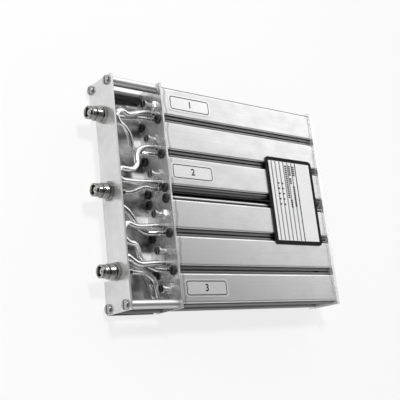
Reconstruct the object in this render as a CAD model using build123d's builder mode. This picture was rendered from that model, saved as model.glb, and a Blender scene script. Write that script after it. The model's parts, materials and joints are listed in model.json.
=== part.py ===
"""Six-cavity coaxial duplexer, in millimetres.

Two extruded blocks of three resonant chambers lie side by side between two end plates.
A folded bracket with three coaxial jacks stands in front of the near end plate, held by
four standoffs, and eight coaxial leads join the jacks and the chambers. Each chamber has
a quarter-wave line on the far end plate and a tuning screw in the near end plate.

The unit lies on its back with the labelled face up. +X runs from the jacks to the far
end, +Y towards the first chamber. The origin is under the middle of the whole length.
"""
import os
from math import radians, tan

from build123d import *

# Plates and bracket
plate_side_margin = 3.75
plate_depth = 38.1
sheet_thickness = 1.8
near_plate_thickness = 1.6
far_plate_thickness = 3.2
bend_inner_radius = 1.5
bay_length = 50.2
window_width = 144.0
window_height = 9.7
window_run = 10.0
relief_length = 3.2
relief_width = 4.0
plate_corner_radius = 1.0

# Extruded chamber blocks
bar_width = 25.4
bar_recess = 1.8
bar_gap = 6.35
middle_gap = 12.7
bar_corner_radius = 1.6
chamber_wall = 2.2
chamber_corner_radius = 1.2
chamber_length = 188.9
web_recess = 2.5
web_depth = 5.4
port_row_inset = 6.6
port_radius = 1.65
port_boss_radius = 3.1
port_slot_width = 1.6
port_slot_overrun = 1.0
port_side_inset = 0.75
inner_port_offset = 4.8

# Coupling notches through the chamber side walls
notch_length = 8.0
notch_height = 6.0

# Fasteners
shank_radius = 1.6
clearance_hole_radius = 1.9
black_head_radius = 4.1
black_head_height = 2.2
black_head_round = 0.8
black_socket_radius = 1.7
black_socket_depth = 1.2
near_screw_length = 8.6
far_head_radius = 3.5
far_head_height = 4.0
far_head_round = 0.4
far_socket_radius = 1.75
far_socket_depth = 2.0
far_screw_length = 18.2
pan_head_radius = 4.2
pan_head_height = 2.4
pan_head_round = 1.2
pan_slot_width = 1.2
pan_slot_depth = 1.0
pan_screw_length = 11.0
stud_in_standoff = 9.0
stud_in_block = 12.0
standoff_radius = 4.0
standoff_chamfer = 0.4
standoff_hole_depth = 12.0

# Tuning screws, their bushings, lock nuts and plungers
tuner_depth = 12.0
tuner_shift = 1.4
screw_radius = 2.0
running_clearance = 0.05
swivel_clearance = 0.15
knob_radius = 3.65
knob_thickness = 2.2
knob_reach = 11.2
knob_chamfer = 0.3
knob_slot_width = 1.0
knob_slot_depth = 1.1
lock_nut_flats = 8.0
lock_nut_thickness = 3.0
lock_nut_turn = 17.0
bushing_barrel_radius = 4.0
bushing_flange_radius = 5.5
bushing_flange_thickness = 2.5
bushing_fit = 0.05
tuner_travel_out = 5.6
tuner_travel_in = 4.9
plunger_radius = 4.5
plunger_length = 8.0
plunger_chamfer = 0.5
plunger_rest_gap = 0.9
neck_radius = 1.2
button_radius = 1.85
button_thickness = 1.2
swivel_wall = 1.6

# Quarter-wave lines
line_radius = 4.75
line_bore_radius = 3.75
line_bore_depth = 40.0
line_end_gap = 2.0
line_foot_radius = 7.0
line_foot_thickness = 3.0
foot_hole_depth = 12.0
foot_screw_length = 11.0
foot_screw_head_radius = 3.4

# Coaxial jacks, measured from the outer face of the bracket
jack_depth = 16.0
jack_reach = 16.0
jack_lip_length = 2.0
jack_groove_radius = 4.9
jack_groove_length = 0.8
jack_thread_radius = 5.55
jack_panel_radius = 6.35
jack_panel_reach = 9.0
jack_chamfer = 0.3
jack_mouth_radius = 4.05
jack_mouth_depth = 8.0
jack_flange_radius = 7.5
jack_flange_thickness = 2.5
jack_stem_radius = 4.2
jack_stem_length = 8.5
jack_seat_radius = 3.2
jack_seat_end = 6.0
jack_hole_clearance = 0.1
jack_slip = 0.05
jack_side_radius = 3.3
jack_side_place = 8.5
jack_side_reach = 6.5
jack_side_seat = 2.6
insulator_nose_radius = 2.4
insulator_nose_recess = 1.9
contact_radius = 1.1
contact_bore_radius = 0.7
contact_bore_depth = 4.0
contact_recess = 2.7
contact_tail = 0.4
washer_thickness = 0.6
washer_radius = 7.5
jack_nut_thickness = 2.4
jack_nut_flats = 14.3

# Coaxial leads, their ferrules and the coupling loops
lead_radius = 2.4
lead_seat = 2.2
core_radius = 1.3
core_clearance = 0.05
core_reach = 1.5
conductor_radius = 0.5
conductor_reach = 3.0
ferrule_radius = 2.9
ferrule_length = 4.0
ferrule_fit = 0.05
bend_share = 0.45
loop_wire_radius = 0.8
loop_run = 26.0
loop_height = 14.0
last_loop_height = -9.0
loop_bend_radius = 3.5
branch_run = 2.0
branch_bend_radius = 1.2

# Lead entries, from each chamber's side face and from the labelled face
upper_entry_inset = 3.7
upper_entry_depth = 12.0
lower_entry_outset = 1.9
lower_entry_depth = 13.8
last_upper_inset = 4.1
last_upper_depth = 20.6
last_lower_inset = 7.2
last_lower_depth = 26.6

# Labels and nameplate
label_length = 47.0
label_width = 15.5
label_thickness = 0.3
label_corner_radius = 3.0
label_1_along = 31.2
label_2_along = 26.5
label_3_along = 28.0
nameplate_length = 63.5
nameplate_width = 86.0
nameplate_thickness = 1.0
nameplate_corner_radius = 4.0
nameplate_from_far_end = 40.0
nameplate_across = 1.45

# Stations along X
overall_length = (
    jack_reach + bay_length + near_plate_thickness + chamber_length
    + far_plate_thickness + far_head_height
)
x_panel = -overall_length / 2 + jack_reach
x_near_plate = x_panel + bay_length
x_block = x_near_plate + near_plate_thickness
x_far_plate = x_block + chamber_length
x_far_face = x_far_plate + far_plate_thickness

# Heights above the surface that the unit lies on
z_middle = plate_depth / 2
z_bar_face = plate_depth - bar_recess
bar_depth = z_bar_face - bar_recess
z_tuner = plate_depth - tuner_depth
z_jack = plate_depth - jack_depth

# Places across the unit, from the first chamber to the last
bar_pitch = bar_width + bar_gap
first_bar = (middle_gap + bar_width) / 2
block_centres = [first_bar + bar_pitch * n for n in (2, 1, 0)]
bar_centres = block_centres + [-y for y in reversed(block_centres)]
gap_centres = [first_bar + bar_pitch * (n + 0.5) for n in (1, 0)]
block_edge = block_centres[0] + bar_width / 2
plate_width = 2 * (block_edge + plate_side_margin)
outer_port = block_edge - port_side_inset
port_rows = (plate_depth - port_row_inset, port_row_inset)
inner_ports = gap_centres + [inner_port_offset]
port_lines = inner_ports + [-y for y in reversed(inner_ports)]
corner_lines = [outer_port, -outer_port]
jack_centres = [gap_centres[0], 0.0, -gap_centres[0]]
tuner_centres = [y - tuner_shift if y > 0 else y + tuner_shift for y in bar_centres]


def spots(lines, rows):
    """Every (y, z) place where a line across the unit meets a row."""
    return [(y, z) for y in lines for z in rows]


def save(builder, name):
    """Label a finished piece and write it under its own name."""
    builder.part.label = name
    export_step(builder.part, f"parts/{name}.step")


def turned(centre, outline, mode=Mode.ADD):
    """Revolve an outline of (along, radius) points about a line through centre along X."""
    with BuildSketch(Plane(origin=centre, x_dir=(1, 0, 0), z_dir=(0, -1, 0))) as half:
        with BuildLine():
            Polyline(*outline, close=True)
        make_face()
    revolve(half.sketch, axis=Axis(centre, (1, 0, 0)), mode=mode)


def discs(x, places, radius, amount, mode=Mode.ADD):
    """Round bosses or holes at (y, z) places, from the plane x, as long as amount."""
    with BuildSketch(Plane.YZ.offset(x)) as circles:
        with Locations(*places):
            Circle(radius)
    extrude(circles.sketch, amount=amount, mode=mode)


def hexagons(x, places, flats, amount, mode=Mode.ADD, turn=0.0):
    """Hexagonal prisms at (y, z) places, each turned a little further than the last."""
    with BuildSketch(Plane.YZ.offset(x)) as hexes:
        for count, place in enumerate(places):
            with Locations(place):
                RegularPolygon(flats / 2, 6, major_radius=False, rotation=turn * count)
    extrude(hexes.sketch, amount=amount, mode=mode)


def block_profile(side):
    """Section of one extruded block: three chambers, webs with screw ports, side ports."""
    centres = [side * y for y in block_centres]
    gaps = [side * y for y in gap_centres]
    webs = [z_bar_face - web_recess - web_depth / 2]
    webs.append(plate_depth - webs[0])
    sides = [side * outer_port, side * inner_port_offset]
    with Locations(*spots(centres, [z_middle])):
        RectangleRounded(bar_width, bar_depth, bar_corner_radius)
    with Locations(*spots(gaps, webs)):
        Rectangle(bar_gap + chamber_wall, web_depth)
    with Locations(*spots(centres, [z_middle])):
        RectangleRounded(
            bar_width - 2 * chamber_wall,
            bar_depth - 2 * chamber_wall,
            chamber_corner_radius,
            mode=Mode.SUBTRACT,
        )
    with Locations(*spots(sides, port_rows)):
        Circle(port_boss_radius)
    with Locations(*spots(gaps + sides, port_rows)):
        Circle(port_radius, mode=Mode.SUBTRACT)
    slot_reach = port_boss_radius + port_slot_overrun
    for row, way in zip(port_rows, (1, -1)):
        with Locations(*[(y, row + way * slot_reach / 2) for y in gaps]):
            Rectangle(port_slot_width, slot_reach, mode=Mode.SUBTRACT)
    for y, way in zip(sides, (side, -side)):
        with Locations(*spots([y + way * slot_reach / 2], port_rows)):
            Rectangle(slot_reach, port_slot_width, mode=Mode.SUBTRACT)


def cavity_block(name, side, notched):
    """Extrude one block and cut the coupling notches at its near end."""
    with BuildPart() as block:
        with BuildSketch(Plane.YZ.offset(x_block)):
            block_profile(side)
        extrude(amount=chamber_length)
        notch_z = plate_depth - (upper_entry_depth + lower_entry_depth) / 2
        walls = [y - bar_width / 2 + chamber_wall / 2 for y in notched]
        with BuildSketch(Plane.YZ.offset(x_block)):
            with Locations(*spots(walls, [notch_z])):
                Rectangle(2 * chamber_wall, notch_height)
        extrude(amount=notch_length, mode=Mode.SUBTRACT)
    save(block, name)


def entry_places():
    """The two (y, z) lead entries of every chamber, upper one first."""
    entries = []
    for y in bar_centres[:-1]:
        side = y - bar_width / 2
        upper = (side + upper_entry_inset, plate_depth - upper_entry_depth)
        lower = (side - lower_entry_outset, plate_depth - lower_entry_depth)
        entries.append((upper, lower))
    side = bar_centres[-1] - bar_width / 2
    upper = (side + last_upper_inset, plate_depth - last_upper_depth)
    lower = (side + last_lower_inset, plate_depth - last_lower_depth)
    entries.append((upper, lower))
    return entries


entries = entry_places()
entry_spots = [place for pair in entries for place in pair]
tuner_spots = spots(tuner_centres, [z_tuner])
jack_spots = spots(jack_centres, [z_jack])
corner_spots = spots(corner_lines, port_rows)
port_spots = spots(port_lines, port_rows)


def end_plate(x, thickness):
    """Flat plate across both blocks with a clearance hole at every screw port."""
    with BuildSketch(Plane.YZ.offset(x)) as outline:
        with Locations((0, z_middle)):
            RectangleRounded(plate_width, plate_depth, plate_corner_radius)
    extrude(outline.sketch, amount=thickness)
    discs(x, port_spots + corner_spots, clearance_hole_radius, thickness, Mode.SUBTRACT)


def near_end_plate():
    with BuildPart() as plate:
        end_plate(x_near_plate, near_plate_thickness)
        hole = bushing_barrel_radius + bushing_fit
        discs(x_near_plate, tuner_spots, hole, near_plate_thickness, Mode.SUBTRACT)
        hole = core_radius + core_clearance
        discs(x_near_plate, entry_spots, hole, near_plate_thickness, Mode.SUBTRACT)
    save(plate, "near_end_plate")


def countersink_outline(clearance):
    """Half section of a countersunk head and shank, from the plate's outer face inwards."""
    head = foot_screw_head_radius + clearance
    shank = shank_radius + clearance
    return head, shank, head - shank


def far_end_plate():
    with BuildPart() as plate:
        end_plate(x_far_plate, far_plate_thickness)
        head, shank, depth = countersink_outline(core_clearance)
        for y, z in tuner_spots:
            outline = [
                (0, 0), (0, head), (-depth, shank),
                (-far_plate_thickness, shank), (-far_plate_thickness, 0),
            ]
            turned((x_far_face, y, z), outline, Mode.SUBTRACT)
    save(plate, "far_end_plate")


def foot_screws():
    """Countersunk screws that hold the quarter-wave lines to the far end plate."""
    with BuildPart() as screws:
        head, shank, depth = countersink_outline(0)
        for y, z in tuner_spots:
            outline = [
                (0, 0), (0, head), (-depth, shank),
                (-foot_screw_length, shank), (-foot_screw_length, 0),
            ]
            turned((x_far_face, y, z), outline)
        with BuildSketch(Plane.YZ.offset(x_far_face)):
            with Locations(*tuner_spots):
                Rectangle(2 * foot_screw_head_radius, knob_slot_width)
        extrude(amount=-knob_slot_depth, mode=Mode.SUBTRACT)
    save(screws, "line_foot_screws")


def connector_bracket():
    """Folded sheet: the jack panel and the back sheet, with a window across the bend."""
    x_inner = x_panel + sheet_thickness
    with BuildPart() as bracket:
        with BuildSketch(Plane.XZ.offset(-plate_width / 2)):
            with BuildLine():
                Polyline(
                    (x_panel, plate_depth), (x_panel, 0), (x_near_plate, 0),
                    (x_near_plate, sheet_thickness), (x_inner, sheet_thickness),
                    (x_inner, plate_depth), close=True,
                )
            make_face()
        extrude(amount=plate_width)
        bends = bracket.edges().filter_by(Axis.Y)
        fillet(bends.sort_by_distance((x_inner, 0, sheet_thickness))[0], bend_inner_radius)
        bends = bracket.edges().filter_by(Axis.Y)
        fillet(bends.sort_by_distance((x_panel, 0, 0))[0], bend_inner_radius + sheet_thickness)
        corners = bracket.edges().filter_by(Axis.X).group_by(Axis.Z)[-1]
        fillet(corners, plate_corner_radius)
        with BuildSketch(Plane.YZ.offset(x_panel)):
            Rectangle(window_width, 2 * window_height)
        extrude(amount=window_run, mode=Mode.SUBTRACT)
        hole = jack_panel_radius + jack_hole_clearance
        discs(x_panel, jack_spots, hole, sheet_thickness, Mode.SUBTRACT)
        discs(x_panel, corner_spots, clearance_hole_radius, sheet_thickness, Mode.SUBTRACT)
        with BuildSketch(Plane.XY):
            reach = plate_width / 2 - relief_width / 2
            with Locations(*[(x_near_plate - relief_length / 2, s * reach) for s in (1, -1)]):
                Rectangle(relief_length, relief_width)
        extrude(amount=sheet_thickness, mode=Mode.SUBTRACT)
    save(bracket, "connector_bracket")


def standoffs():
    x_start = x_panel + sheet_thickness
    length = x_near_plate - x_start
    with BuildPart() as posts:
        discs(x_start, corner_spots, standoff_radius, length)
        ends = posts.edges().group_by(Axis.X)
        chamfer(ends[0] + ends[-1], standoff_chamfer)
        discs(x_start, corner_spots, port_radius, standoff_hole_depth, Mode.SUBTRACT)
        discs(x_near_plate, corner_spots, port_radius, -standoff_hole_depth, Mode.SUBTRACT)
    save(posts, "standoffs")


def standoff_studs():
    """Threaded studs from the standoffs through the near end plate into the blocks."""
    length = stud_in_standoff + near_plate_thickness + stud_in_block
    with BuildPart() as studs:
        discs(x_near_plate - stud_in_standoff, corner_spots, shank_radius, length)
    save(studs, "standoff_studs")


def panel_screws():
    with BuildPart() as screws:
        discs(x_panel, corner_spots, pan_head_radius, -pan_head_height)
        fillet(screws.edges().group_by(Axis.X)[0], pan_head_round)
        discs(x_panel, corner_spots, shank_radius, pan_screw_length)
        with BuildSketch(Plane.YZ.offset(x_panel - pan_head_height)):
            with Locations(*corner_spots):
                Rectangle(2 * pan_head_radius, pan_slot_width)
        extrude(amount=pan_slot_depth, mode=Mode.SUBTRACT)
    save(screws, "panel_screws")


def near_end_screws():
    with BuildPart() as screws:
        discs(x_near_plate, port_spots, black_head_radius, -black_head_height)
        fillet(screws.edges().group_by(Axis.X)[0], black_head_round)
        discs(x_near_plate, port_spots, shank_radius, near_screw_length)
        x_top = x_near_plate - black_head_height
        hexagons(x_top, port_spots, 2 * black_socket_radius, black_socket_depth, Mode.SUBTRACT)
    save(screws, "near_end_screws")


def far_end_screws():
    places = port_spots + corner_spots
    with BuildPart() as screws:
        discs(x_far_face, places, far_head_radius, far_head_height)
        fillet(screws.edges().group_by(Axis.X)[-1], far_head_round)
        discs(x_far_face, places, shank_radius, -far_screw_length)
        x_top = x_far_face + far_head_height
        hexagons(x_top, places, 2 * far_socket_radius, -far_socket_depth, Mode.SUBTRACT)
    save(screws, "far_end_screws")


def tuner_bushings():
    bore = screw_radius + running_clearance
    with BuildPart() as bushings:
        discs(x_near_plate, tuner_spots, bushing_barrel_radius, near_plate_thickness)
        discs(x_block, tuner_spots, bushing_flange_radius, bushing_flange_thickness)
        length = near_plate_thickness + bushing_flange_thickness
        discs(x_near_plate, tuner_spots, bore, length, Mode.SUBTRACT)
    save(bushings, "tuner_bushings")


def tuner_lock_nuts():
    bore = screw_radius + running_clearance
    with BuildPart() as nuts:
        hexagons(x_near_plate, tuner_spots, lock_nut_flats, -lock_nut_thickness,
                 turn=lock_nut_turn)
        discs(x_near_plate, tuner_spots, bore, -lock_nut_thickness, Mode.SUBTRACT)
    save(nuts, "tuner_lock_nuts")


# Stations of the tuning screw, its plunger and the quarter-wave line
x_knob = x_near_plate - knob_reach
x_plunger = x_block + bushing_flange_thickness + tuner_travel_out + plunger_rest_gap
x_neck_end = x_plunger + swivel_wall + swivel_clearance
x_line_end = x_plunger + plunger_length + tuner_travel_in + line_end_gap


def tuning_screw(number, y):
    with BuildPart() as screw:
        x_shank_end = x_plunger - swivel_clearance
        outline = [
            (x_knob, 0), (x_knob, knob_radius - knob_chamfer),
            (x_knob + knob_chamfer, knob_radius),
            (x_knob + knob_thickness - knob_chamfer, knob_radius),
            (x_knob + knob_thickness, knob_radius - knob_chamfer),
            (x_knob + knob_thickness, screw_radius), (x_shank_end, screw_radius),
            (x_shank_end, neck_radius), (x_neck_end, neck_radius),
            (x_neck_end, button_radius), (x_neck_end + button_thickness, button_radius),
            (x_neck_end + button_thickness, 0),
        ]
        turned((0, y, z_tuner), outline)
        with BuildSketch(Plane.YZ.offset(x_knob)):
            with Locations((y, z_tuner)):
                Rectangle(2 * knob_radius, knob_slot_width)
        extrude(amount=knob_slot_depth, mode=Mode.SUBTRACT)
    save(screw, f"tuning_screw_{number}")


def plunger(number, y):
    """Slug that the screw pushes and pulls by a button turning in an undercut."""
    x_front = x_plunger + plunger_length
    x_cave = x_plunger + swivel_wall
    x_cave_end = x_neck_end + button_thickness + swivel_clearance
    hole = neck_radius + swivel_clearance
    cave = button_radius + swivel_clearance
    outline = [
        (x_plunger, hole), (x_plunger, plunger_radius),
        (x_front - plunger_chamfer, plunger_radius),
        (x_front, plunger_radius - plunger_chamfer), (x_front, 0),
        (x_cave_end, 0), (x_cave_end, cave), (x_cave, cave), (x_cave, hole),
    ]
    with BuildPart() as slug:
        turned((0, y, z_tuner), outline)
    save(slug, f"tuning_plunger_{number}")


def resonator_line(number, y):
    """Quarter-wave line: a tube, open towards the plunger, on a foot."""
    x_foot = x_far_plate - line_foot_thickness
    x_bore = x_line_end + line_bore_depth
    x_hole = x_far_plate - foot_hole_depth
    outline = [
        (x_line_end, line_bore_radius), (x_line_end, line_radius), (x_foot, line_radius),
        (x_foot, line_foot_radius), (x_far_plate, line_foot_radius),
        (x_far_plate, port_radius), (x_hole, port_radius), (x_hole, 0),
        (x_bore, 0), (x_bore, line_bore_radius),
    ]
    with BuildPart() as line:
        turned((0, y, z_tuner), outline)
    save(line, f"resonator_line_{number}")


def jack_body(number, y, tee):
    """Panel jack turned from one bar; the middle one has a side exit for a second lead."""
    x_rear = sheet_thickness + jack_flange_thickness
    x_stem = x_rear + jack_stem_length
    x_lip = -jack_reach + jack_lip_length
    x_groove = x_lip + jack_groove_length
    bore = lead_radius + ferrule_fit
    outline = [
        (-jack_reach, jack_mouth_radius), (-jack_reach, jack_thread_radius - jack_chamfer),
        (-jack_reach + jack_chamfer, jack_thread_radius), (x_lip, jack_thread_radius),
        (x_lip, jack_groove_radius), (x_groove, jack_groove_radius),
        (x_groove, jack_thread_radius - jack_chamfer),
        (x_groove + jack_chamfer, jack_thread_radius),
        (-jack_panel_reach, jack_thread_radius), (-jack_panel_reach, jack_panel_radius),
        (sheet_thickness, jack_panel_radius), (sheet_thickness, jack_flange_radius),
        (x_rear, jack_flange_radius), (x_rear, jack_stem_radius),
        (x_stem, jack_stem_radius), (x_stem, bore), (jack_seat_end, bore),
        (jack_seat_end, jack_seat_radius),
        (jack_mouth_depth - jack_reach, jack_seat_radius),
        (jack_mouth_depth - jack_reach, jack_mouth_radius),
    ]
    centre = (x_panel, y, z_jack)
    with BuildPart() as jack:
        turned(centre, outline)
        if tee:
            side = Plane.XZ.offset(-y)
            with BuildSketch(side.offset(jack_seat_radius)):
                with Locations((x_panel + jack_side_place, z_jack)):
                    Circle(jack_side_radius)
            extrude(amount=jack_side_reach - jack_seat_radius)
            with BuildSketch(side):
                with Locations((x_panel + jack_side_place, z_jack)):
                    Circle(bore)
            extrude(amount=jack_side_reach, mode=Mode.SUBTRACT)
    save(jack, f"jack_{number}")


def jack_insulator(number, y):
    x_nose = -jack_reach + insulator_nose_recess
    x_seat = jack_mouth_depth - jack_reach
    outer = jack_seat_radius - jack_slip
    bore = contact_radius + jack_slip
    outline = [
        (x_nose, bore), (x_nose, insulator_nose_radius), (x_seat, insulator_nose_radius),
        (x_seat, outer), (jack_seat_end, outer), (jack_seat_end, bore),
    ]
    with BuildPart() as insulator:
        turned((x_panel, y, z_jack), outline)
    save(insulator, f"jack_insulator_{number}")


def jack_contact(number, y):
    x_tip = -jack_reach + contact_recess
    x_tail = jack_seat_end + contact_tail
    outline = [
        (x_tip, contact_bore_radius), (x_tip, contact_radius), (x_tail, contact_radius),
        (x_tail, 0), (x_tip + contact_bore_depth, 0),
        (x_tip + contact_bore_depth, contact_bore_radius),
    ]
    with BuildPart() as contact:
        turned((x_panel, y, z_jack), outline)
    save(contact, f"jack_contact_{number}")


def jack_hardware():
    hole = jack_panel_radius + jack_slip
    with BuildPart() as washers:
        discs(x_panel, jack_spots, washer_radius, -washer_thickness)
        discs(x_panel, jack_spots, hole, -washer_thickness, Mode.SUBTRACT)
    save(washers, "jack_washers")
    with BuildPart() as nuts:
        x_nut = x_panel - washer_thickness
        hexagons(x_nut, jack_spots, jack_nut_flats, -jack_nut_thickness, turn=lock_nut_turn)
        discs(x_nut, jack_spots, hole, -jack_nut_thickness, Mode.SUBTRACT)
    save(nuts, "jack_nuts")


def bend_radii(points):
    """The largest arc that the two runs at each corner of a route allow."""
    radii = []
    for before, here, after in zip(points, points[1:], points[2:]):
        run_in = Vector(*here) - Vector(*before)
        run_out = Vector(*after) - Vector(*here)
        half_turn = radians(run_in.get_angle(run_out)) / 2
        radii.append(bend_share * min(run_in.length, run_out.length) / tan(half_turn))
    return radii


def lead(number, route, ends):
    """One coaxial lead along its route, with its core and conductor bared at each end."""
    points = [(x_panel + x, y, z) for x, y, z in route]
    with BuildPart() as cable:
        with BuildLine() as path:
            FilletPolyline(*points, radius=bend_radii(points))
        with BuildSketch(Plane(origin=path.line @ 0, z_dir=path.line % 0)):
            Circle(lead_radius)
        sweep(path=path.line)
        for kind, place in ends:
            if kind == "chamber":
                length = near_plate_thickness + core_reach
                discs(x_near_plate, [place], core_radius, length)
                discs(x_block + core_reach, [place], conductor_radius, conductor_reach)
            elif kind == "jack":
                x_end = x_panel + lead_start
                stub = jack_seat_end + contact_tail - lead_start
                discs(x_end, [place], conductor_radius, stub)
            else:
                with BuildSketch(Plane.XZ.offset(-place[0] + jack_side_seat)):
                    with Locations((x_panel + jack_side_place, place[1])):
                        Circle(conductor_radius)
                extrude(amount=conductor_radius - jack_side_seat)
    print(f"lead_{number}: length {path.wires()[0].length:.1f},",
          f"tightest bend {min(bend_radii(points)):.1f}, volume {cable.part.volume:.0f}")
    save(cable, f"lead_{number}")


def ferrules():
    """Crimped sleeves that ground the leads on the near end plate."""
    with BuildPart() as sleeves:
        discs(x_near_plate, entry_spots, ferrule_radius, -ferrule_length)
        bore = lead_radius + ferrule_fit
        discs(x_near_plate, entry_spots, bore, -ferrule_length, Mode.SUBTRACT)
    save(sleeves, "lead_ferrules")


def wire(points, radius):
    """Round loop wire along a polyline with equal bends."""
    with BuildLine() as path:
        FilletPolyline(*points, radius=radius)
    with BuildSketch(Plane(origin=path.line @ 0, z_dir=path.line % 0)) as section:
        Circle(loop_wire_radius)
    sweep(section.sketch, path=path.line)


def coupling_loops(name, numbers):
    """Loop in each chamber from the lead's conductor to the plate, and the lead beside it."""
    with BuildPart() as loops:
        for number in numbers:
            (y, z), (y_side, z_side) = entries[number]
            drop = last_loop_height if number == len(entries) - 1 else loop_height
            x_start = x_block + core_reach + conductor_reach
            x_turn = x_start + loop_run
            z_back = z - drop
            wire([(x_start, y, z), (x_turn, y, z), (x_turn, y, z_back), (x_block, y, z_back)],
                 loop_bend_radius)
            x_branch = x_start + branch_run
            wire([(x_start, y_side, z_side), (x_branch, y_side, z_side), (x_branch, y, z)],
                 branch_bend_radius)
    save(loops, name)


# Routes of the leads: the bay and the bar pitch that their points were chosen for
route_bay = 50.2
route_pitch = 31.75
lead_start = sheet_thickness + jack_flange_thickness + jack_stem_length - lead_seat


def along(x):
    """A chosen distance behind the jack panel, stretched with the bay."""
    return x * bay_length / route_bay


def across(y):
    """A chosen place across the unit, stretched with the bars."""
    return y * bar_pitch / route_pitch


def route_point(x, y, depth):
    """A chosen point: behind the jack panel, across, and below the labelled face."""
    return (along(x), across(y), plate_depth - depth)


def lead_routes():
    """Points chosen along each lead, from jack 1 by the chambers in turn to jack 3."""
    at = route_point
    upper = [(bay_length, *pair[0]) for pair in entries]
    lower = [(bay_length, *pair[1]) for pair in entries]
    jack_1, jack_2, jack_3 = [(lead_start, y, z_jack) for y in jack_centres]
    side_exit = (jack_side_place, -jack_side_seat, z_jack)
    first = [jack_1, (along(20.0), *jack_1[1:]), (along(34.0), *lower[0][1:]), lower[0]]
    second = [
        upper[0], (along(38.0), *upper[0][1:]), at(28.0, 69.8, 10.1), at(20.0, 67.2, 9.5),
        at(13.5, 70.2, 8.2), at(6.8, 66.8, 7.1), at(8.6, 59.2, 8.1), at(16.0, 56.5, 10.6),
        at(21.5, 52.0, 12.6), at(24.0, 46.0, 14.1), at(26.0, 40.0, 17.1), at(33.0, 36.9, 17.6),
        (along(42.0), *lower[1][1:]), lower[1],
    ]
    third = [
        upper[1], (along(41.0), *upper[1][1:]), at(33.7, 40.4, 12.0), at(27.5, 35.6, 11.9),
        at(26.8, 24.5, 11.8), at(22.2, 19.6, 11.1), at(16.0, 18.6, 9.9), at(4.9, 19.0, 8.8),
        at(4.9, 8.3, 8.8), at(20.0, 8.4, 10.4), (along(37.0), *upper[2][1:]), upper[2],
    ]
    fourth = [
        jack_2, (along(20.0), *jack_2[1:]), at(33.0, 5.6, 13.2), (along(41.5), *lower[2][1:]), lower[2],
    ]
    fifth = [
        side_exit, (jack_side_place, across(-11.0), z_jack), at(14.5, -15.5, 14.6),
        at(20.5, -22.0, 15.6), at(25.0, -29.0, 18.1), at(34.0, -33.6, 17.6),
        (along(42.0), *lower[3][1:]), lower[3],
    ]
    sixth = [
        upper[3], (along(40.0), *upper[3][1:]), at(29.5, -29.4, 11.7), at(19.0, -30.1, 10.9),
        at(9.5, -27.2, 9.5), at(4.9, -32.0, 8.8), at(5.2, -40.5, 8.8), at(10.0, -44.2, 9.5),
        at(16.5, -44.4, 10.5), at(21.0, -48.5, 13.1), at(24.5, -55.5, 17.1), at(31.0, -60.5, 17.5),
        at(39.0, -64.6, 14.9), (along(44.0), *lower[4][1:]), lower[4],
    ]
    seventh = [
        upper[4], (along(38.0), *upper[4][1:]), at(18.4, -61.7, 11.1), at(7.5, -55.0, 9.6),
        at(5.2, -50.5, 16.1), at(6.0, -51.0, 27.1), at(14.0, -55.0, 32.1), at(27.0, -60.5, 31.9),
        at(34.0, -64.0, 29.6), at(38.5, -76.0, 27.1), (along(41.5), *lower[5][1:]), lower[5],
    ]
    eighth = [
        jack_3, (along(20.0), *jack_3[1:]), at(31.0, -67.2, 19.1), at(40.8, -72.6, 21.2),
        at(41.2, -82.8, 22.1), (along(42.6), *upper[5][1:]), upper[5],
    ]
    return [first, second, third, fourth, fifth, sixth, seventh, eighth]


def lead_ends():
    """What each lead joins at its two ends."""
    upper = [("chamber", pair[0]) for pair in entries]
    lower = [("chamber", pair[1]) for pair in entries]
    jacks = [("jack", place) for place in jack_spots]
    side = ("side exit", jack_spots[1])
    return [
        (jacks[0], lower[0]), (upper[0], lower[1]), (upper[1], upper[2]),
        (jacks[1], lower[2]), (side, lower[3]), (upper[3], lower[4]),
        (upper[4], lower[5]), (jacks[2], upper[5]),
    ]


def label_plate(name, centre, length, width, thickness, corner):
    with BuildPart() as plate:
        with BuildSketch(Plane.XY.offset(z_bar_face)):
            with Locations(centre):
                RectangleRounded(length, width, corner)
        extrude(amount=thickness)
    save(plate, name)


os.makedirs("parts", exist_ok=True)

connector_bracket()
near_end_plate()
far_end_plate()
cavity_block("cavity_block_a", 1, bar_centres[:3])
cavity_block("cavity_block_b", -1, bar_centres[3:-1])
standoffs()
standoff_studs()
panel_screws()
near_end_screws()
far_end_screws()
foot_screws()
tuner_bushings()
tuner_lock_nuts()
jack_hardware()
ferrules()
coupling_loops("coupling_loops_a", (0, 1, 2))
coupling_loops("coupling_loops_b", (3, 4, 5))

for number, y in enumerate(tuner_centres, 1):
    tuning_screw(number, y)
    plunger(number, y)
    resonator_line(number, y)

for number, y in enumerate(jack_centres, 1):
    jack_body(number, y, tee=(number == 2))
    jack_insulator(number, y)
    jack_contact(number, y)

for number, (route, ends) in enumerate(zip(lead_routes(), lead_ends()), 1):
    lead(number, route, ends)

label_places = (
    (label_1_along, bar_centres[0]), (label_2_along, bar_centres[2]),
    (label_3_along, bar_centres[5]),
)
for number, (x, y) in enumerate(label_places, 1):
    label_plate(f"port_label_{number}", (x_block + x, y), label_length, label_width,
                label_thickness, label_corner_radius)
nameplate_centre = (x_far_plate - nameplate_from_far_end, nameplate_across)
label_plate("nameplate", nameplate_centre, nameplate_length, nameplate_width,
            nameplate_thickness, nameplate_corner_radius)
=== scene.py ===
import bpy
import bmesh
import json
import math
from mathutils import Matrix, Vector


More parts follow.
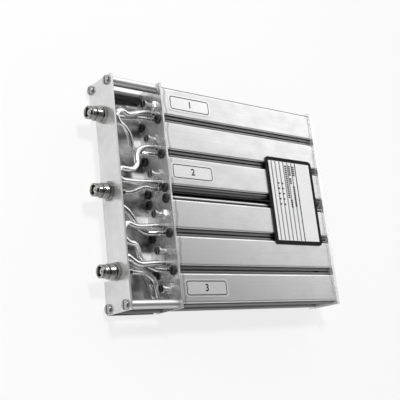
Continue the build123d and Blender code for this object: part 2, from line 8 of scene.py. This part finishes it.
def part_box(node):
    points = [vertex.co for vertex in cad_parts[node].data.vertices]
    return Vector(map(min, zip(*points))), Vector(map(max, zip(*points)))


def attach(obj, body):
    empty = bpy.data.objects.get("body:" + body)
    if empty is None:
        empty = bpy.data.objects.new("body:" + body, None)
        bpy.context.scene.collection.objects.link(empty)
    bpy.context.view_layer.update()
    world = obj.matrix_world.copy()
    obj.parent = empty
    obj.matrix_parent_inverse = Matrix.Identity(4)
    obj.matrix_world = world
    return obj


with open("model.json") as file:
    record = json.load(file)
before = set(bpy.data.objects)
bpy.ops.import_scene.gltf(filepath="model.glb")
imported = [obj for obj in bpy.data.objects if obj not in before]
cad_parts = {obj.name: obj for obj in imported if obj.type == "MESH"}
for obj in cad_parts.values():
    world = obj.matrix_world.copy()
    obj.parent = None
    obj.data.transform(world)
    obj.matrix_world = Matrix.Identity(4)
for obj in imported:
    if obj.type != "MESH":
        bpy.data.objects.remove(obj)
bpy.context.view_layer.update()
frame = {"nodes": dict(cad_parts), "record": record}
CHASSIS = "chassis"


# Measures of the solids, read from the frame; every length in this script is in metres

def lowest(node, axis):
    """A solid's lowest coordinate on the axis X, Y or Z."""
    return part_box(node)[0]["XYZ".index(axis)]


def highest(node, axis):
    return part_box(node)[1]["XYZ".index(axis)]


def middle(node, axis):
    return (lowest(node, axis) + highest(node, axis)) / 2


def extent(node, axis):
    return highest(node, axis) - lowest(node, axis)


# Stations of the solids
PANEL_X = lowest("connector_bracket", "X")
PANEL_INSIDE_X = PANEL_X + 0.0015
NEAR_X = lowest("near_end_plate", "X")
FAR_INSIDE_X = lowest("far_end_plate", "X") - 0.001
KNOB_X = lowest("tuning_screw_1", "X")
FACE_Z = highest("cavity_block_a", "Z")
STANDOFF_TOP = highest("standoffs", "Z")
JACK_Z = middle("jack_washers", "Z")

# Grain and broad waves in the metal, and how far its roughness spreads
GRAIN_DEPTH = 0.00001
GRAIN_STRENGTH = 0.35
WAVE_DEPTH = 0.0012
WAVE_SCALE = (45, 45, 45)
NEAR_PLATE_WAVES = (NEAR_X - 0.0001, 0.0)
BRACKET_WAVES = (PANEL_X + 0.0025, 0.0)
BLOTCH_SHARE = 0.7
ROUGH_SPREAD = 0.06
NOISE_ROUGHNESS = 0.6

# Line across the bars near the jacks: its place, how far it wanders, and its soft edge
END_LINE_X = NEAR_X + 0.0056
END_LINE_WANDER = 0.0012
END_LINE_SCALE = (70, 70, 70)
END_LINE_EDGE = (0.0004, 0.0016)
END_LINE_GREY = 0.5

# Shares of the brushed colour kept by the painted shade on the extrusion below the faces and by
# its painted highlight lines
PAINTED_SHADE_SHARE = 0.24
PAINTED_HIGHLIGHT_SHARE = 0.75
BRUSHED_EDGE = (FACE_Z - 0.0015, FACE_Z - 0.0005)

# Painted highlight lines along the channels, which lie in line with the outer jacks and one pitch
# further in:
# place across, strength and half width
CHAMBER_PITCH = 0.03175
CHANNELS = [middle(jack, "Y") + shift for jack, shift in (
    ("jack_3", 0.0), ("jack_3", CHAMBER_PITCH), ("jack_1", -CHAMBER_PITCH), ("jack_1", 0.0))]
CHANNEL_HIGHLIGHTS = [(channel + offset, 0.4, 0.0002)
                 for channel in CHANNELS for offset in (-0.0014, 0.0007)]
CHANNEL_HIGHLIGHTS += [(0.0021, 0.6, 0.0003), (-0.0036, 1.0, 0.0006)]
HIGHLIGHT_FADE = 0.0002

# Painted patches of light on the bracket where it meets the near plate, and their painted
# reflection on the near plate: place across and half length, then the heights and stations where
# they fade in on each
LIGHT_PATCHES = ((-0.0515, 0.0045), (-0.0200, 0.0045), (0.0210, 0.0040), (0.0540, 0.0040),
           (0.0850, 0.0030))
LIGHT_PATCH_FADE = 0.002
LIGHT_PATCH_GREY = 0.92
LIGHT_PATCH_ON_PLATE = (0.0100, 0.0040)
LIGHT_PATCH_ON_BRACKET = (NEAR_X - 0.01425, NEAR_X - 0.01075)

# Pale far plate, stains and painted shade inside the bracket, and the heights where the painted
# shade on the standoffs begins
FAR_GREY = 0.92
STAIN_AND_SHADE_SCALE = (35, 35, 35)
STAIN_AND_SHADE_SHARES = (0.30, 0.95)
STAIN_AND_SHADE_EDGE = (0.38, 0.62)
STANDOFF_SHADE_FADE = (STANDOFF_TOP - 0.0043, STANDOFF_TOP - 0.0003)
STANDOFF_SHADE_GREY = 0.12

# Threads drawn on the tuning screws, and the stations where the painted shade on their end faces
# stops
SCREW_PITCH = 0.0007
SCREW_THREAD = (NEAR_X - 0.0088, NEAR_X + 0.02)
SCREW_THREAD_DEPTH = 0.0001
KNOB_SHADED_FACE = (KNOB_X + 0.0002, KNOB_X + 0.0003)
KNOB_SHADE_GREY = 0.12

# Threads on the jacks: radius, start and end of each barrel, then the ridge's own measures
JACK_PITCH = 0.000907
BARRELS = ((0.00555, PANEL_X - 0.0126, PANEL_X - 0.0091),
           (0.00635, PANEL_X - 0.0089, PANEL_X - 0.0036))
THREAD_STEPS = 48
THREAD_HEIGHT = 0.00012
THREAD_ROOT = -0.00003
THREAD_SHARE = 0.4

# Thickness of the ink, and the print on the port labels
INK = 0.00003
INK_SHINE = 0.08
LABEL_INSET = 0.0015
LABEL_LINE = 0.0008
LABEL_CORNER = 0.0025
SMALLEST_CORNER = 0.0005
CORNER_STEPS = 8
NUMERAL_HEIGHT = 0.0085
NUMERAL_WEIGHT = 0.0002

# Nameplate and its ruled lines, measured from the plate's edge nearest the jacks
PLATE_CENTRE = (middle("nameplate", "X"), middle("nameplate", "Y"))
PLATE_SIZE = (extent("nameplate", "X"), extent("nameplate", "Y"))
PLATE_TOP = highest("nameplate", "Z")
PLATE_START = lowest("nameplate", "X")
PLATE_BORDER = 0.0037
PLATE_CORNER = 0.0040
PLATE_RIM = 0.0035
RIM_GREY = 0.02
PLATE_FIELD = PLATE_SIZE[1] - 0.0080
RULES = (0.0075, 0.0127, 0.0182, 0.0235, 0.0290, 0.0345)
RULE_WIDTH = 0.0014
DIVIDER = 0.0397
DIVIDER_WIDTH = 0.0013
BAND_START = DIVIDER + 0.0018
BAND_END = PLATE_SIZE[0] - 0.0040

# Plain dashes in place of the small print: distance from the plate's edge nearest the jacks,
# first and last place from its middle, and pitch
DASHES = ((0.0136, 0.0170, -0.0060, 0.0052), (0.0188, 0.0170, -0.0060, 0.0052),
          (0.0262, 0.0350, 0.0020, 0.0021), (0.0288, 0.0005, -0.0070, 0.0021),
          (0.0312, 0.0350, 0.0250, 0.0021), (0.0312, 0.0225, 0.0165, 0.0021),
          (0.0344, 0.0145, -0.0050, 0.0021), (0.0364, 0.0350, 0.0250, 0.0021))
DASH_SIZE = (0.0027, 0.0015)

# Floor: half length, how far it lies under the object, and its share of plain white
FLOOR_HALF = 3.0
FLOOR_DROP = 0.0001
FLOOR_WHITE = 0.8

# Studio: the way to its bright side, how much each side glows, and where one fades to the other
BRIGHT_WAY = (0.60, 0.75, -0.30)
SKY_DIM = 0.05
SKY_BRIGHT = 1.6
SKY_FADE = (0.22, 0.48)
HORIZON = 0.7
HORIZON_FADE = (0.45, 0.62)
WHITE_BELOW = 0.2

# Camera, fitted to the photograph: the picture's width and the focal length in pixels
PHOTO_WIDTH = 400.0
FOCAL_LENGTH = 761.08
SENSOR = 36.0
CAMERA_PLACE = (-0.44935, -0.1646, 0.5270)
CAMERA_RIGHT = Vector((0.77515, -0.10926, 0.62228))
CAMERA_DOWN = Vector((0.06862, -0.96453, -0.25483))
CAMERA_FORWARD = Vector((0.62806, 0.24023, -0.74014))


# Node building

def rgb(red, green, blue):
    return (red, green, blue, 1.0)


def grey(value):
    return rgb(value, value, value)


class Nodes:
    """The nodes of a material or of the world, under construction."""

    def __init__(self, tree):
        self.nodes = tree.nodes
        self.links = tree.links
        self.nodes.clear()

    def node(self, kind, **values):
        made = self.nodes.new(kind)
        for key, value in values.items():
            setattr(made, key, value)
        return made

    def join(self, source, target):
        self.links.new(source, target)

    def feed(self, socket, value):
        """Give a socket a plain value or another node's output."""
        if isinstance(value, bpy.types.NodeSocket):
            self.join(value, socket)
        else:
            socket.default_value = value

    def compute(self, operation, *values):
        made = self.node("ShaderNodeMath", operation=operation)
        for socket, value in zip(made.inputs, values):
            self.feed(socket, value)
        return made.outputs[0]

    def largest(self, values):
        best = values[0]
        for value in values[1:]:
            best = self.compute("MAXIMUM", best, value)
        return best

    def away(self, value, place):
        """Distance of a value from a place."""
        return self.compute("ABSOLUTE", self.compute("SUBTRACT", value, place))

    def span(self, value, low, high, start=0.3, end=0.7, kind="LINEAR"):
        """Map a value's range start..end to low..high."""
        made = self.node("ShaderNodeMapRange", interpolation_type=kind)
        made.inputs["From Min"].default_value = start
        made.inputs["From Max"].default_value = end
        made.inputs["To Min"].default_value = low
        made.inputs["To Max"].default_value = high
        self.join(value, made.inputs["Value"])
        return made.outputs[0]

    def mix(self, share, first, second):
        """Mix two shaders, each an output of its node."""
        made = self.node("ShaderNodeMixShader")
        for socket, value in zip(made.inputs, (share, first, second)):
            self.join(value, socket)
        return made.outputs[0]


class Shader(Nodes):
    """A node material under construction: one principled shader and its inputs."""

    def __init__(self, name):
        self.material = bpy.data.materials.new(name)
        self.material.use_nodes = True
        super().__init__(self.material.node_tree)
        self.output = self.node("ShaderNodeOutputMaterial")
        self.surface = self.node("ShaderNodeBsdfPrincipled")
        self.join(self.surface.outputs[0], self.output.inputs["Surface"])
        self.place = self.node("ShaderNodeTexCoord").outputs["Object"]
        self.colour = None

    def set(self, **values):
        for key, value in values.items():
            self.surface.inputs[key.replace("_", " ")].default_value = value

    def paint(self, colour):
        """Take a node's output as the base colour."""
        self.colour = colour
        self.join(colour, self.surface.inputs["Base Color"])

    def axis(self, name):
        """The object coordinate X, Y or Z."""
        split = self.node("ShaderNodeSeparateXYZ")
        self.join(self.place, split.inputs[0])
        return split.outputs[name]

    def noise(self, scale, detail=4.0):
        """Noise over the object coordinates, stretched by a factor on each axis."""
        mapping = self.node("ShaderNodeMapping")
        mapping.inputs["Scale"].default_value = scale
        self.join(self.place, mapping.inputs["Vector"])
        made = self.node("ShaderNodeTexNoise")
        made.inputs["Scale"].default_value = 1.0
        made.inputs["Detail"].default_value = detail
        made.inputs["Roughness"].default_value = NOISE_ROUGHNESS
        self.join(mapping.outputs[0], made.inputs["Vector"])
        return made.outputs["Fac"]

    def blend(self, share, first, second):
        """Mix two colours, each a plain one or a node's output."""
        made = self.node("ShaderNodeMix", data_type="RGBA")
        colours = [s for s in made.inputs if s.type == "RGBA"]
        for socket, value in zip(colours, (first, second)):
            self.feed(socket, value)
        self.join(share, [s for s in made.inputs if s.type == "VALUE"][0])
        return [s for s in made.outputs if s.type == "RGBA"][0]

    def product(self, first, second):
        """Multiply two colours."""
        made = self.node("ShaderNodeVectorMath", operation="MULTIPLY")
        self.join(first, made.inputs[0])
        self.join(second, made.inputs[1])
        return made.outputs[0]

    def dimmed(self, colour, share):
        """Keep a share of a colour."""
        made = self.node("ShaderNodeVectorMath", operation="SCALE")
        self.join(colour, made.inputs[0])
        self.join(share, made.inputs["Scale"])
        return made.outputs[0]

    def beyond(self, station):
        """One past a station along X and zero before it."""
        return self.compute("GREATER_THAN", self.axis("X"), station)

    def between(self, start, end):
        """One between two stations along X and zero elsewhere."""
        along = self.axis("X")
        return self.compute("MULTIPLY", self.compute("GREATER_THAN", along, start),
                            self.compute("LESS_THAN", along, end))

    def bump(self, height, distance, strength=1.0, over=None):
        """Tilt the surface by a height, on top of an earlier bump where there is one."""
        made = self.node("ShaderNodeBump")
        made.inputs["Strength"].default_value = strength
        made.inputs["Distance"].default_value = distance
        self.join(height, made.inputs["Height"])
        if over:
            self.join(over.outputs[0], made.inputs["Normal"])
        self.join(made.outputs[0], self.surface.inputs["Normal"])
        return made


# Materials

def metal(name, light, dark, rough, metallic=1.0, grain=(180, 700, 700), blotch=(30, 60, 60),
          waves=None):
    """Metal with soft blotches, a fine grain and, between two stations along X, broad waves."""
    shader = Shader(name)
    shader.set(Metallic=metallic)
    blotches = shader.noise(blotch)
    lines = shader.noise(grain, detail=2.0)
    both = shader.compute("ADD", shader.compute("MULTIPLY", blotches, BLOTCH_SHARE),
                          shader.compute("MULTIPLY", lines, 1.0 - BLOTCH_SHARE))
    shader.paint(shader.blend(shader.span(both, 0.0, 1.0), dark, light))
    shader.join(shader.span(both, rough + ROUGH_SPREAD, rough - ROUGH_SPREAD),
                shader.surface.inputs["Roughness"])
    broad = None
    if waves:
        height = shader.compute("MULTIPLY", shader.noise(WAVE_SCALE, detail=1.0),
                                shader.between(*waves))
        broad = shader.bump(height, WAVE_DEPTH)
    shader.bump(lines, GRAIN_DEPTH, GRAIN_STRENGTH, over=broad)
    return shader


def unbrushed(shader):
    """Brushed faces with a faint line across near the jacks, and painted shade on the extrusion
    below them.

    Thin paler lines of painted highlight run along each channel, one of them bright in the middle
    channel.
    """
    wander = shader.span(shader.noise(END_LINE_SCALE, detail=2.0), -END_LINE_WANDER,
                         END_LINE_WANDER)
    along = shader.compute("ADD", shader.axis("X"), wander)
    line = shader.span(shader.away(along, END_LINE_X), 1.0, 0.0, *END_LINE_EDGE)
    brushed = shader.blend(line, shader.colour, grey(END_LINE_GREY))
    across = shader.axis("Y")
    # Painted highlights: thin paler lines along each channel
    lines = shader.largest([
        shader.span(shader.away(across, place), strength, 0.0, half_width, half_width + HIGHLIGHT_FADE)
        for place, strength, half_width in CHANNEL_HIGHLIGHTS])
    # Painted shade on the extrusion below the brushed faces, with the painted highlight lines
    # kept paler
    shaded_channels = shader.product(brushed, shader.blend(lines, grey(PAINTED_SHADE_SHARE), grey(PAINTED_HIGHLIGHT_SHARE)))
    below = shader.span(shader.axis("Z"), 1.0, 0.0, *BRUSHED_EDGE)
    shader.paint(shader.blend(below, brushed, shaded_channels))


def threaded(shader):
    """Ridges around the tuning screws, as a cut thread shows them."""
    wave = shader.compute("SINE", shader.compute("MULTIPLY", shader.axis("X"),
                                                 2 * math.pi / SCREW_PITCH))
    ridge = shader.compute("MULTIPLY", wave, shader.between(*SCREW_THREAD))
    shader.bump(ridge, SCREW_THREAD_DEPTH)


def bright_patches(shader, metallic, axis, start, end):
    """Painted patches of light, fading in between two stations along one axis; on the near plate
    they are a painted reflection of the lit bracket.
    """
    across = shader.axis("Y")
    patches = shader.largest([
        shader.span(shader.away(across, place), 1.0, 0.0, half_length, half_length + LIGHT_PATCH_FADE)
        for place, half_length in LIGHT_PATCHES])
    near = shader.span(shader.axis(axis), 0.0, 1.0, start, end)
    patches = shader.compute("MULTIPLY", patches, near)
    shader.join(shader.span(patches, metallic, 0.0, 0.0, 1.0),
                shader.surface.inputs["Metallic"])
    shader.paint(shader.blend(patches, shader.colour, grey(LIGHT_PATCH_GREY)))


def pale_far_plate(shader):
    """A paler colour from just inside the far plate onwards, so the far plate is paler than the
    near one.
    """
    shader.paint(shader.blend(shader.beyond(FAR_INSIDE_X), shader.colour, grey(FAR_GREY)))


def dull_inside(shader):
    """Blotches of stain and of painted shade darken the inner faces of the folded bracket."""
    stains_and_shade = shader.span(shader.noise(STAIN_AND_SHADE_SCALE, detail=3.0), *STAIN_AND_SHADE_SHARES, *STAIN_AND_SHADE_EDGE)
    stained_and_shaded = shader.dimmed(shader.colour, stains_and_shade)
    shader.paint(shader.blend(shader.beyond(PANEL_INSIDE_X), shader.colour, stained_and_shaded))


def dark_below(shader):
    """Painted shade on the standoffs, darkening down their sides, with the lower pair in painted
    shade all over.
    """
    upper = shader.span(shader.axis("Z"), 0.0, 1.0, *STANDOFF_SHADE_FADE)
    shader.paint(shader.blend(upper, grey(STANDOFF_SHADE_GREY), shader.colour))


def dark_ends(shader):
    """Painted shade on the end face of each tuning screw, behind its bright rim."""
    end = shader.span(shader.axis("X"), 1.0, 0.0, *KNOB_SHADED_FACE)
    shader.paint(shader.blend(end, shader.colour, grey(KNOB_SHADE_GREY)))


def black_rim(shader):
    """Black edge all round the nameplate, down its sides too."""
    rim = shader.largest([
        shader.compute("GREATER_THAN", shader.away(shader.axis(axis), centre),
                       size / 2 - PLATE_RIM)
        for axis, centre, size in zip("XY", PLATE_CENTRE, PLATE_SIZE)])
    shader.paint(shader.blend(rim, shader.colour, grey(RIM_GREY)))


PLATE_METALLIC = 0.75
BRACKET_METALLIC = 0.65

# Light and dark colour and roughness of each material, and what else differs from plain metal
LOOKS = {
    "block_metal": dict(light=grey(0.83), dark=grey(0.70), rough=0.32,
                        grain=(12, 900, 900), blotch=(55, 90, 90)),
    "plate_metal": dict(light=grey(0.82), dark=grey(0.50), rough=0.28,
                        metallic=PLATE_METALLIC, grain=(900, 30, 700),
                        waves=NEAR_PLATE_WAVES),
    "standoff_metal": dict(light=grey(0.84), dark=grey(0.70), rough=0.40, grain=(40, 700, 700)),
    "bracket_metal": dict(light=grey(0.80), dark=grey(0.64), rough=0.22,
                          metallic=BRACKET_METALLIC, grain=(700, 14, 700),
                          waves=BRACKET_WAVES),
    "line_metal": dict(light=grey(0.80), dark=grey(0.70), rough=0.30),
    "zinc_steel": dict(light=grey(0.46), dark=grey(0.30), rough=0.24),
    "jack_nickel": dict(light=rgb(0.42, 0.42, 0.41), dark=rgb(0.28, 0.28, 0.27), rough=0.20),
    "plated_brass": dict(light=grey(0.90), dark=grey(0.78), rough=0.30),
    "bare_brass": dict(light=rgb(0.74, 0.56, 0.27), dark=rgb(0.62, 0.45, 0.20), rough=0.35),
    "tinned_copper": dict(light=grey(0.88), dark=grey(0.76), rough=0.26,
                          grain=(500, 500, 500)),
    "loop_wire": dict(light=rgb(0.80, 0.73, 0.63), dark=rgb(0.70, 0.62, 0.50), rough=0.30),
    "contact_gold": dict(light=rgb(0.82, 0.64, 0.30), dark=rgb(0.72, 0.52, 0.20), rough=0.22),
    "black_steel": dict(light=grey(0.03), dark=grey(0.012), rough=0.35, metallic=0.0),
    "white_insulator": dict(light=grey(0.86), dark=grey(0.80), rough=0.50, metallic=0.0),
    "label_foil": dict(light=grey(0.89), dark=grey(0.82), rough=0.34, metallic=0.9,
                       grain=(12, 900, 900), blotch=(90, 90, 90)),
    "nameplate_print": dict(light=grey(0.84), dark=grey(0.78), rough=0.42, metallic=0.0),
    "black_ink": dict(light=grey(0.016), dark=grey(0.008), rough=0.60, metallic=0.0),
    "rule_ink": dict(light=grey(0.20), dark=grey(0.16), rough=0.50, metallic=0.0),
    "grey_ink": dict(light=grey(0.84), dark=grey(0.79), rough=0.50, metallic=0.0),
}


def make_materials():
    made = {name: metal(name, **look) for name, look in LOOKS.items()}
    unbrushed(made["block_metal"])
    pale_far_plate(made["plate_metal"])
    # Painted reflection of the lit bracket along the near plate's lower edge
    bright_patches(made["plate_metal"], PLATE_METALLIC, "Z", *LIGHT_PATCH_ON_PLATE)
    dark_below(made["standoff_metal"])
    dull_inside(made["bracket_metal"])
    # Painted patches of light on the bracket next to the near plate
    bright_patches(made["bracket_metal"], BRACKET_METALLIC, "X", *LIGHT_PATCH_ON_BRACKET)
    threaded(made["plated_brass"])
    dark_ends(made["plated_brass"])
    black_rim(made["nameplate_print"])
    made["black_ink"].set(Specular_IOR_Level=INK_SHINE)
    return {name: shader.material for name, shader in made.items()}


materials = make_materials()
for entry in frame["record"]["subparts"]:
    node = frame["nodes"][entry["node"]]
    look = "standoff_metal" if entry["node"] == "standoffs" else entry["material_slot"]
    node.data.materials.clear()
    node.data.materials.append(materials[look])


# Print on the labels and the nameplate

def piece(name, made, material):
    """Add a mesh under construction to the scene as one piece."""
    mesh = bpy.data.meshes.new(name)
    made.to_mesh(mesh)
    made.free()
    mesh.materials.append(materials[material])
    added = bpy.data.objects.new(name, mesh)
    bpy.context.scene.collection.objects.link(added)
    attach(added, CHASSIS)


def rounded(centre, size, radius):
    """Corner points of a rounded rectangle, counter-clockwise."""
    points = []
    half_x = size[0] / 2 - radius
    half_y = size[1] / 2 - radius
    for turn, (sx, sy) in enumerate(((1, 1), (-1, 1), (-1, -1), (1, -1))):
        for step in range(CORNER_STEPS + 1):
            angle = math.pi / 2 * (turn + step / CORNER_STEPS)
            points.append((centre[0] + sx * half_x + radius * math.cos(angle),
                           centre[1] + sy * half_y + radius * math.sin(angle)))
    return points


def join_rings(made, rings):
    """Faces between each ring of points and the next."""
    count = len(rings[0])
    for first, second in zip(rings, rings[1:]):
        for i in range(count):
            j = (i + 1) % count
            made.faces.new((first[i], first[j], second[j], second[i]))


def printed_frame(name, centre, size, width, radius, z):
    """Thin raised ring of ink between two rounded rectangles."""
    outer = rounded(centre, size, radius)
    inner = rounded(centre, (size[0] - 2 * width, size[1] - 2 * width),
                    max(radius - width, SMALLEST_CORNER))
    made = bmesh.new()
    rings = [[made.verts.new((x, y, height)) for x, y in points]
             for points, height in ((outer, z), (outer, z + INK), (inner, z + INK), (inner, z))]
    join_rings(made, rings + rings[:1])
    bmesh.ops.recalc_face_normals(made, faces=made.faces)
    piece(name, made, "black_ink")


def printed_bars(name, bars, z, material):
    """Flat bars of ink on the nameplate: centre x, centre y, length x and length y of each."""
    made = bmesh.new()
    for x, y, length, width in bars:
        place = Matrix.Translation((x, y, z + INK / 2))
        scale = Matrix.Diagonal((length, width, INK, 1.0))
        bmesh.ops.create_cube(made, size=1.0, matrix=place @ scale)
    piece(name, made, material)


def number(name, text, centre, top):
    """A plain numeral as thin raised ink on a label."""
    curve = bpy.data.curves.new(name, "FONT")
    curve.body = text
    curve.size = NUMERAL_HEIGHT
    curve.align_x = "CENTER"
    curve.align_y = "CENTER"
    curve.extrude = INK / 2
    curve.offset = NUMERAL_WEIGHT
    curve.materials.append(materials["black_ink"])
    made = bpy.data.objects.new(name, curve)
    bpy.context.scene.collection.objects.link(made)
    made.location = (centre[0], centre[1], top + INK / 2)
    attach(made, CHASSIS)


def make_labels():
    for count in (1, 2, 3):
        label = f"port_label_{count}"
        centre = (middle(label, "X"), middle(label, "Y"))
        size = (extent(label, "X") - 2 * LABEL_INSET, extent(label, "Y") - 2 * LABEL_INSET)
        top = highest(label, "Z")
        printed_frame(f"label_{count}_border", centre, size, LABEL_LINE, LABEL_CORNER, top)
        number(f"label_{count}_numeral", str(count), centre, top)


def make_nameplate():
    across = PLATE_CENTRE[1]
    printed_frame("nameplate_border", PLATE_CENTRE, PLATE_SIZE, PLATE_BORDER, PLATE_CORNER,
                  PLATE_TOP)
    rules = [(PLATE_START + rule, across, RULE_WIDTH, PLATE_FIELD) for rule in RULES]
    printed_bars("nameplate_rules", rules, PLATE_TOP, "rule_ink")
    divider = (PLATE_START + DIVIDER, across, DIVIDER_WIDTH, PLATE_FIELD)
    printed_bars("nameplate_divider", [divider], PLATE_TOP, "black_ink")
    band = (PLATE_START + (BAND_START + BAND_END) / 2, across, BAND_END - BAND_START, PLATE_FIELD)
    printed_bars("nameplate_band", [band], PLATE_TOP, "grey_ink")
    dashes = [(PLATE_START + column, across + first - step * pitch, *DASH_SIZE)
              for column, first, last, pitch in DASHES
              for step in range(int((first - last) / pitch) + 1)]
    printed_bars("nameplate_dashes", dashes, PLATE_TOP + INK, "black_ink")


# Threads on the jacks, as a raised helix on each of the two barrels

def thread_ridge(made, centre, radius, start, end):
    """Add one closed ridge that winds along X around a barrel."""
    turns = int((end - start) / JACK_PITCH)
    section = ((-THREAD_SHARE, THREAD_ROOT), (0.0, THREAD_HEIGHT), (THREAD_SHARE, THREAD_ROOT))
    rings = []
    for step in range(turns * THREAD_STEPS + 1):
        angle = 2 * math.pi * step / THREAD_STEPS
        along = start + JACK_PITCH * (THREAD_SHARE + step / THREAD_STEPS)
        rings.append([made.verts.new((along + offset * JACK_PITCH,
                                      centre[0] + (radius + height) * math.cos(angle),
                                      centre[1] + (radius + height) * math.sin(angle)))
                      for offset, height in section])
    join_rings(made, rings)
    made.faces.new(rings[0])
    made.faces.new(rings[-1])


def make_threads():
    for count in (1, 2, 3):
        centre = (middle(f"jack_{count}", "Y"), JACK_Z)
        made = bmesh.new()
        for radius, start, end in BARRELS:
            thread_ridge(made, centre, radius, start, end)
        bmesh.ops.recalc_face_normals(made, faces=made.faces)
        piece(f"jack_{count}_thread", made, "jack_nickel")


# Floor, background, lamps and camera

def make_floor():
    corners = [(x * FLOOR_HALF, y * FLOOR_HALF, -FLOOR_DROP)
               for x, y in ((-1, -1), (1, -1), (1, 1), (-1, 1))]
    mesh = bpy.data.meshes.new("floor")
    mesh.from_pydata(corners, [], [(0, 1, 2, 3)])
    made = bpy.data.objects.new("floor", mesh)
    bpy.context.scene.collection.objects.link(made)
    shader = Shader("floor")
    shader.set(Roughness=0.9)
    shader.paint(shader.blend(shader.noise((3, 3, 3)), grey(0.86), grey(0.84)))
    path = shader.node("ShaderNodeLightPath").outputs
    seen = shader.largest([path["Is Camera Ray"], path["Is Glossy Ray"],
                           path["Is Transmission Ray"]])
    glow = shader.node("ShaderNodeEmission")
    glow.inputs["Color"].default_value = grey(1.0)
    share = shader.compute("MULTIPLY", seen, FLOOR_WHITE)
    shader.join(shader.mix(share, shader.surface.outputs[0], glow.outputs[0]),
                shader.output.inputs["Surface"])
    mesh.materials.append(shader.material)


def background(nodes, strength):
    made = nodes.node("ShaderNodeBackground")
    made.inputs["Color"].default_value = grey(1.0)
    nodes.feed(made.inputs["Strength"], strength)
    return made.outputs[0]


def make_world():
    """White behind the object, and for light and reflections a bright side and a dim one."""
    world = bpy.data.worlds.new("studio")
    bpy.context.scene.world = world
    world.use_nodes = True
    nodes = Nodes(world.node_tree)
    way = nodes.node("ShaderNodeTexCoord").outputs["Generated"]
    toward = nodes.node("ShaderNodeVectorMath", operation="DOT_PRODUCT")
    nodes.join(way, toward.inputs[0])
    toward.inputs[1].default_value = Vector(BRIGHT_WAY).normalized()
    side = nodes.span(toward.outputs["Value"], SKY_DIM, SKY_BRIGHT, *SKY_FADE, "SMOOTHSTEP")
    split = nodes.node("ShaderNodeSeparateXYZ")
    nodes.join(way, split.inputs[0])
    ring = nodes.span(split.outputs["Z"], HORIZON, 0.0, *HORIZON_FADE, "SMOOTHSTEP")
    low = nodes.compute("LESS_THAN", split.outputs["Z"], WHITE_BELOW)
    path = nodes.node("ShaderNodeLightPath").outputs
    mirrored = nodes.largest([path["Is Glossy Ray"], path["Is Transmission Ray"]])
    seen = nodes.largest([path["Is Camera Ray"], nodes.compute("MULTIPLY", mirrored, low)])
    studio = background(nodes, nodes.largest([side, ring]))
    output = nodes.node("ShaderNodeOutputWorld")
    nodes.join(nodes.mix(seen, studio, background(nodes, 1.0)), output.inputs["Surface"])


def lamp(name, place, target, size, power):
    data = bpy.data.lights.new(name, "AREA")
    data.shape = "DISK"
    data.size = size
    data.energy = power
    made = bpy.data.objects.new(name, data)
    made.location = place
    aim = Vector(target) - Vector(place)
    made.rotation_euler = aim.to_track_quat("-Z", "Y").to_euler()
    bpy.context.scene.collection.objects.link(made)


def make_camera():
    data = bpy.data.cameras.new("camera")
    data.sensor_fit = "HORIZONTAL"
    data.sensor_width = SENSOR
    data.lens = SENSOR * FOCAL_LENGTH / PHOTO_WIDTH
    data.clip_start = 0.01
    made = bpy.data.objects.new("camera", data)
    turn = Matrix((CAMERA_RIGHT, -CAMERA_DOWN, -CAMERA_FORWARD)).transposed().to_4x4()
    made.matrix_world = Matrix.Translation(CAMERA_PLACE) @ turn
    bpy.context.scene.collection.objects.link(made)
    bpy.context.scene.camera = made


make_labels()
make_nameplate()
make_threads()
make_floor()
make_world()
lamp("key", place=(-0.3, 0.55, 1.2), target=(0.0, 0.0, 0.02), size=0.2, power=11.0)
lamp("fill", place=(-0.9, 0.2, 0.5), target=(-0.1, 0.0, 0.02), size=0.5, power=1.0)
make_camera()
bpy.context.scene.view_settings.view_transform = "Standard"
